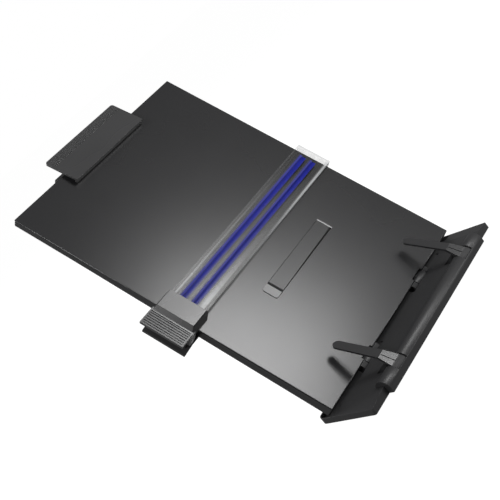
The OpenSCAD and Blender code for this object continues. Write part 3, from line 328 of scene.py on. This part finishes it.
for name, look in LOOKS.items():
    node = nodes[name]
    node.data.materials.clear()
    node.data.materials.append(look)
for name, width in EDGES.items():
    node = nodes[name]
    weld = node.modifiers.new("weld", "WELD")
    weld.merge_threshold = 0.002 * MM
    flat = node.modifiers.new("flat", "DECIMATE")
    flat.decimate_type = "DISSOLVE"
    flat.angle_limit = math.radians(0.2)
    bevel = node.modifiers.new("edges", "BEVEL")
    bevel.width = width * MM
    bevel.segments = 2
    bevel.limit_method = "ANGLE"
    bevel.angle_limit = math.radians(32)
    bevel.use_clamp_overlap = True
    bevel.harden_normals = True

# ---------------------------------------------------------------- wound springs


def smooth_mesh(name, verts, faces, material):
    """A smooth shaded piece of one material, its faces turned outwards."""
    mesh = bpy.data.meshes.new(name)
    mesh.from_pydata([tuple(v) for v in verts], [], faces)
    mesh.validate()
    tidy = bmesh.new()
    tidy.from_mesh(mesh)
    bmesh.ops.recalc_face_normals(tidy, faces=tidy.faces)
    tidy.to_mesh(mesh)
    tidy.free()
    for face in mesh.polygons:
        face.use_smooth = True
    mesh.materials.append(material)
    piece = bpy.data.objects.new(name, mesh)
    bpy.context.scene.collection.objects.link(piece)
    return piece


def tube(name, path, radius, material):
    """A round wire along a path, with domed ends."""
    sides = 12
    verts, faces = [], []
    previous = None
    for i, point in enumerate(path):
        ahead = path[min(i + 1, len(path) - 1)] - path[max(i - 1, 0)]
        ahead.normalize()
        side = previous - ahead * previous.dot(ahead) if previous else ahead.orthogonal()
        side.normalize()
        previous = side
        other = ahead.cross(side)
        for k in range(sides):
            a = 2 * math.pi * k / sides
            verts.append(point + radius * (math.cos(a) * side + math.sin(a) * other))
    for i in range(len(path) - 1):
        for k in range(sides):
            m = (k + 1) % sides
            faces.append((i * sides + k, i * sides + m, (i + 1) * sides + m, (i + 1) * sides + k))
    for end, first, sign in ((0, 0, -1), (len(path) - 1, (len(path) - 1) * sides, 1)):
        ahead = (path[end] - path[end - sign]).normalized()
        verts.append(path[end] + ahead * radius * 0.4)
        tip = len(verts) - 1
        for k in range(sides):
            faces.append((first + k, first + (k + 1) % sides, tip))
    return smooth_mesh(name, verts, faces, material)


# The same sizes as the two springs of the frame, in millimetres, degrees and whole turns
WIRE_R, COIL_PITCH, GAP = 0.45, 1.4, 0.3
GUIDE_TURNS, CLIP_TURNS = 5, 6
GUIDE_COIL_R, GUIDE_AXIS_X, GUIDE_AXIS_Z = 2.9, 9, 4.2
GUIDE_UPPER_PHASE, GUIDE_LOWER_PHASE = 70, 35
CLIP_COIL_R, CLIP_AXIS_Y, CLIP_AXIS_Z = 2.5, 5.5, 4.4
CLIP_UPPER_PHASE, CLIP_LOWER_PHASE = -45, -50
TURN_STEP = 9  # degrees of coil between two rings of the wire's mesh


def torsion_spring(name, node, place, radius, start, sweep, legs):
    """The node's wire as a fine helix with its two straight legs, which twists between the two bodies."""
    steps = int(sweep / TURN_STEP)
    height = COIL_PITCH * sweep / 360
    helix = []
    for i in range(steps + 1):
        t = i / steps
        a = math.radians(start + t * sweep)
        helix.append(Vector((radius * math.cos(a), radius * math.sin(a), (t - 0.5) * height)))
    first, last = math.radians(start), math.radians(start + sweep)
    tail = helix[0] - legs[0] * Vector((-math.sin(first), math.cos(first), 0))
    head = helix[-1] + legs[1] * Vector((-math.sin(last), math.cos(last), 0))
    path = [place @ p * MM for p in [tail, *helix, head]]
    piece = tube(name, path, WIRE_R * MM, WIRE)
    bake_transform(piece)
    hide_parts(node)


def guide_legs():
    """Lengths of the guide spring's legs, which end just over the lower grip and just under the upper one."""
    grip_top, grip_t = 5.2, 2.6
    grip_root, grip_out, grip_drop = 6, 17.5, 4.3
    board_t, edge_t, taper_l = 9.6, 6.4, 245
    guide_down, cap_w, clear, pad_t = 80, 40.8, 0.15, 1.2
    slope = grip_drop / (grip_out - grip_root)
    upper, lower = math.radians(GUIDE_UPPER_PHASE), math.radians(GUIDE_LOWER_PHASE)
    jaw_foot = GUIDE_HEIGHT - guide_down - cap_w / 2
    jaw_top = board_t - (board_t - edge_t) * jaw_foot / taper_l + clear + pad_t
    up = (grip_top - grip_t + GUIDE_AXIS_Z - WIRE_R - GAP - GUIDE_COIL_R * math.sin(upper)) / math.cos(upper)
    down = ((jaw_top - GUIDE_AXIS_Z - WIRE_R - GAP
             + slope * (GUIDE_AXIS_X - grip_root - GUIDE_COIL_R * math.cos(lower)) - GUIDE_COIL_R * math.sin(lower))
            / (math.cos(lower) - slope * math.sin(lower)))
    return down, up


def clip_legs():
    """Lengths of the page clip spring's legs, which end in the lower jaw and under the upper lever."""
    rear_z, front_z, lever_t, lever_in, lever_out = 3, 6, 2.2, 15.8, 19
    edge_t, jaw_root, jaw_out, jaw_drop = 6.4, 1, 8, 4.6
    slope, low = (front_z - rear_z) / (lever_in + lever_out), jaw_drop / (jaw_out - jaw_root)
    upper, lower = math.radians(CLIP_UPPER_PHASE), math.radians(CLIP_LOWER_PHASE)
    up = ((rear_z - lever_t + slope * (lever_out - CLIP_AXIS_Y - CLIP_COIL_R * math.cos(upper))
           + CLIP_AXIS_Z - WIRE_R - GAP - CLIP_COIL_R * math.sin(upper))
          / (math.cos(upper) - slope * math.sin(upper)))
    down = ((edge_t - CLIP_AXIS_Z + low * (CLIP_AXIS_Y + CLIP_COIL_R * math.cos(lower) - jaw_root)
             + CLIP_COIL_R * math.sin(lower) - (WIRE_R + GAP) * math.sqrt(1 + low ** 2))
            / (math.cos(lower) - low * math.sin(lower)))
    return down, up


guide_coil = (AT_BOARD @ Matrix.Translation((-PANEL_W / 2 - GUIDE_AXIS_X, GUIDE_HEIGHT, -GUIDE_AXIS_Z))
              @ Matrix.Rotation(math.radians(90), 4, "X"))
clip_coil = (AT_BOARD @ Matrix.Translation((0, PANEL_H + CLIP_AXIS_Y, -CLIP_AXIS_Z))
             @ Matrix.Rotation(math.radians(90), 4, "Z") @ Matrix.Rotation(math.radians(90), 4, "X"))
guide_sweep = 360 * GUIDE_TURNS + GUIDE_UPPER_PHASE + GUIDE_LOWER_PHASE
clip_sweep = 360 * CLIP_TURNS + CLIP_UPPER_PHASE - CLIP_LOWER_PHASE
torsion_spring("guide_spring_wire", "guide_spring", guide_coil, GUIDE_COIL_R,
               -GUIDE_LOWER_PHASE, guide_sweep, guide_legs())
torsion_spring("clip_spring_wire", "clip_spring", clip_coil, CLIP_COIL_R,
               CLIP_LOWER_PHASE, clip_sweep, clip_legs())

# ---------------------------------------------------------------- studio


def emission(tree, strength):
    node = tree.nodes.new("ShaderNodeEmission")
    node.inputs["Strength"].default_value = strength
    return node


def background(tree, strength):
    node = tree.nodes.new("ShaderNodeBackground")
    node.inputs["Color"].default_value = (1, 1, 1, 1)
    node.inputs["Strength"].default_value = strength
    return node


# A floor that the camera sees as near white with faint shadows, and that is dim in reflections
FLOOR_HALF = 8
FLOOR_GLOW, FLOOR_DIM, FLOOR_SHADOW_SHARE = 0.96, 0.25, 0.2
mesh = bpy.data.meshes.new("floor")
mesh.from_pydata([(x * FLOOR_HALF, y * FLOOR_HALF, 0) for x, y in ((-1, -1), (1, -1), (1, 1), (-1, 1))], [],
                 [(0, 1, 2, 3)])
floor = bpy.data.objects.new("floor", mesh)
bpy.context.scene.collection.objects.link(floor)
floor_look = bpy.data.materials.new("pale_floor")
floor_look.use_nodes = True
tree = floor_look.node_tree
tree.nodes.clear()
lit = tree.nodes.new("ShaderNodeBsdfDiffuse")
lit.inputs["Color"].default_value = (0.8, 0.8, 0.8, 1)
share = tree.nodes.new("ShaderNodeMixShader")
share.inputs[0].default_value = FLOOR_SHADOW_SHARE
both = tree.nodes.new("ShaderNodeAddShader")
pick = tree.nodes.new("ShaderNodeMixShader")
rays = tree.nodes.new("ShaderNodeLightPath")
out = tree.nodes.new("ShaderNodeOutputMaterial")
tree.links.new(emission(tree, 0.0).outputs[0], share.inputs[1])
tree.links.new(lit.outputs[0], share.inputs[2])
tree.links.new(emission(tree, FLOOR_GLOW).outputs[0], both.inputs[0])
tree.links.new(share.outputs[0], both.inputs[1])
tree.links.new(rays.outputs["Is Camera Ray"], pick.inputs[0])
tree.links.new(emission(tree, FLOOR_DIM).outputs[0], pick.inputs[1])
tree.links.new(both.outputs[0], pick.inputs[2])
tree.links.new(pick.outputs[0], out.inputs["Surface"])
floor.data.materials.append(floor_look)

# A world that the camera sees as white and that fills the shadows a little
WORLD_FILL = 0.21
world = bpy.data.worlds.new("studio")
bpy.context.scene.world = world
world.use_nodes = True
tree = world.node_tree
tree.nodes.clear()
pick = tree.nodes.new("ShaderNodeMixShader")
rays = tree.nodes.new("ShaderNodeLightPath")
out = tree.nodes.new("ShaderNodeOutputWorld")
tree.links.new(rays.outputs["Is Camera Ray"], pick.inputs[0])
tree.links.new(background(tree, WORLD_FILL).outputs[0], pick.inputs[1])
tree.links.new(background(tree, 1.0).outputs[0], pick.inputs[2])
tree.links.new(pick.outputs[0], out.inputs["Surface"])


def softbox(name, at, aim, size, radiance):
    """A rectangular lamp of the given radiance that faces its aim."""
    light = bpy.data.lights.new(name, "AREA")
    light.shape = "RECTANGLE"
    light.size, light.size_y = size
    light.energy = radiance * math.pi * size[0] * size[1]
    lamp = bpy.data.objects.new(name, light)
    bpy.context.scene.collection.objects.link(lamp)
    lamp.location = at
    lamp.rotation_mode = "QUATERNION"
    lamp.rotation_quaternion = (Vector(aim) - Vector(at)).to_track_quat("-Z", "Y")


# The key's mirror image is the sheen on the panel; the low lamp catches the fingers' roots
BOARD_MIDDLE = (0, 0.1117, 0.1381)
BASE_MIDDLE = (0, 0, 0.02)
softbox("key", (0.402, -0.567, 0.709), BOARD_MIDDLE, (0.348, 0.348), 13.7)
softbox("left", (-1.0, -0.05, 1.05), BOARD_MIDDLE, (0.36, 0.36), 18.5)
softbox("low", (0.95, -1.08, 0.34), BASE_MIDDLE, (0.46, 0.40), 7.5)
softbox("back", (-0.35, 1.45, 0.75), BOARD_MIDDLE, (0.8, 0.8), 6.0)

# ---------------------------------------------------------------- camera

# Fitted to the outline of the panel in the photo
camera = bpy.data.cameras.new("camera")
camera.lens = 70.998
camera.sensor_width = 36
camera.shift_x, camera.shift_y = -0.00076, 0.00083
camera.clip_start, camera.clip_end = 0.02, 50
eye = bpy.data.objects.new("camera", camera)
bpy.context.scene.collection.objects.link(eye)
eye.matrix_world = Matrix((
    (0.50459870, 0.61173968, -0.60922468, -0.52879636),
    (-0.60625808, -0.25133019, -0.75450929, -0.53278505),
    (-0.61467983, 0.75007179, 0.24405123, 0.32453900),
    (0, 0, 0, 1),
))
bpy.context.scene.camera = eye
bpy.context.scene.view_settings.view_transform = "Standard"
bpy.context.scene.view_settings.look = "None"
